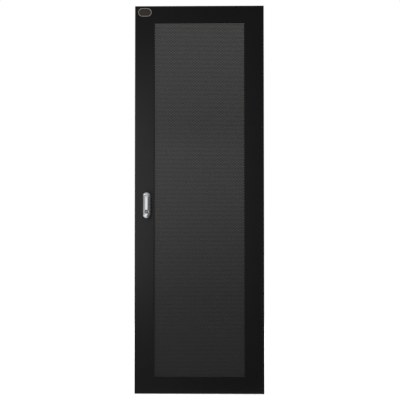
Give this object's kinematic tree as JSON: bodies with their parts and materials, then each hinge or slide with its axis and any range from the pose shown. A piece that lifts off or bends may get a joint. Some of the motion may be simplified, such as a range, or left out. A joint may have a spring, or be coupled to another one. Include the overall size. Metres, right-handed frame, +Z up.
{
  "type": "perforated rack door",
  "caption": "Perforated steel rack door: folded sheet leaf, hexagonal mesh window, swing-handle rod lock with key cylinder, and sprung lift-off hinge pins.",
  "frame": {"origin": "shoulder of the lower hinge pin, on the hinge axis", "axes": "+X to the right seen from the front, +Y to the rear of the door, +Z up along the hinge axis"},
  "size_m": [0.6, 0.0591, 1.8],
  "materials": {
    "black_powder_coat": "fine-textured black powder coat",
    "champagne_trim": "satin champagne anodised, blank",
    "satin_chrome": "satin chrome on zinc die-casting",
    "cylinder_nickel": "bright nickel",
    "black_nickel": "black nickel",
    "brass": "turned brass",
    "zinc_plate": "bright zinc plate",
    "cast_zinc": "as-cast zinc alloy",
    "black_nylon": "moulded nylon",
    "spring_steel": "drawn spring wire",
    "black_rubber": "soft rubber"
  },
  "bodies": {
    "door": {"door_leaf": "black_powder_coat", "perforated_sheet": "black_powder_coat", "blank_badge": "champagne_trim", "lock_housing": "satin_chrome", "gearbox_body": "cast_zinc", "gearbox_cover": "cast_zinc", "gearbox_screws": "zinc_plate", "clamp_screws": "zinc_plate", "upper_rod_guide_near": "black_nylon", "upper_rod_guide_far": "black_nylon", "lower_rod_guide_near": "black_nylon", "lower_rod_guide_far": "black_nylon", "guide_studs": "zinc_plate", "guide_nuts": "zinc_plate", "upper_hinge_bracket": "zinc_plate", "hinge_spring": "spring_steel", "lower_hinge_bracket": "zinc_plate", "lower_hinge_pin": "zinc_plate", "earth_stud": "zinc_plate", "earth_washer": "brass", "earth_nut": "brass", "door_buffers": "black_rubber"},
    "turning_handle": {"handle_hub": "satin_chrome", "drive_spindle": "zinc_plate", "rod_pinion": "zinc_plate", "latch_spacer": "zinc_plate", "middle_latch": "zinc_plate", "latch_screw": "zinc_plate"},
    "lever": {"handle_lever": "satin_chrome", "lever_pin": "zinc_plate", "cylinder_barrel": "black_nickel"},
    "key_cylinder": {"key_plug": "cylinder_nickel", "lock_tongue": "zinc_plate", "tongue_screw": "zinc_plate"},
    "upper_lock_rod": {"upper_rod": "zinc_plate", "upper_roller_axle": "zinc_plate"},
    "lower_lock_rod": {"lower_rod": "zinc_plate", "lower_roller_axle": "zinc_plate"},
    "upper_rod_roller": {"upper_roller": "black_nylon"},
    "lower_rod_roller": {"lower_roller": "black_nylon"},
    "upper_hinge_pin": {"hinge_plunger": "zinc_plate", "plunger_clip": "spring_steel"}
  },
  "joints": [
    {"name": "handle_turn", "type": "hinge", "parent": "door", "child": "turning_handle", "pos_m": [-0.532, -0.0125, 0.853], "axis": [0, -1, 0], "range_deg": [0, 90]},
    {"name": "lever_lift", "type": "hinge", "parent": "turning_handle", "child": "lever", "pos_m": [-0.532, -0.0283, 0.85], "axis": [-1, 0, 0], "range_deg": [0, 35]},
    {"name": "key_turn", "type": "hinge", "parent": "lever", "child": "key_cylinder", "pos_m": [-0.532, -0.0325, 0.78], "axis": [0, -1, 0], "range_deg": [0, 90]},
    {"name": "upper_rod_slide", "type": "slide", "parent": "door", "child": "upper_lock_rod", "axis": [0, 0, -1], "range_m": [0, 0.01413]},
    {"name": "lower_rod_slide", "type": "slide", "parent": "door", "child": "lower_lock_rod", "axis": [0, 0, 1], "range_m": [0, 0.01413]},
    {"name": "upper_roller_spin", "type": "hinge", "parent": "upper_lock_rod", "child": "upper_rod_roller", "pos_m": [-0.5488, 0.0005, 1.698], "axis": [1, 0, 0], "continuous": true},
    {"name": "lower_roller_spin", "type": "hinge", "parent": "lower_lock_rod", "child": "lower_rod_roller", "pos_m": [-0.5152, 0.0005, -0.018], "axis": [1, 0, 0], "continuous": true},
    {"name": "hinge_pin_retract", "type": "slide", "parent": "door", "child": "upper_hinge_pin", "axis": [0, 0, -1], "range_m": [0, 0.014], "stiffness_N_per_m": 900, "springref_m": -0.006, "deforming": ["hinge_spring"]}
  ],
  "couplings": [
    {"joint": "handle_turn", "follows": "upper_rod_slide", "rad_per_m": 111.11},
    {"joint": "lower_rod_slide", "follows": "upper_rod_slide", "ratio": 1}
  ]
}
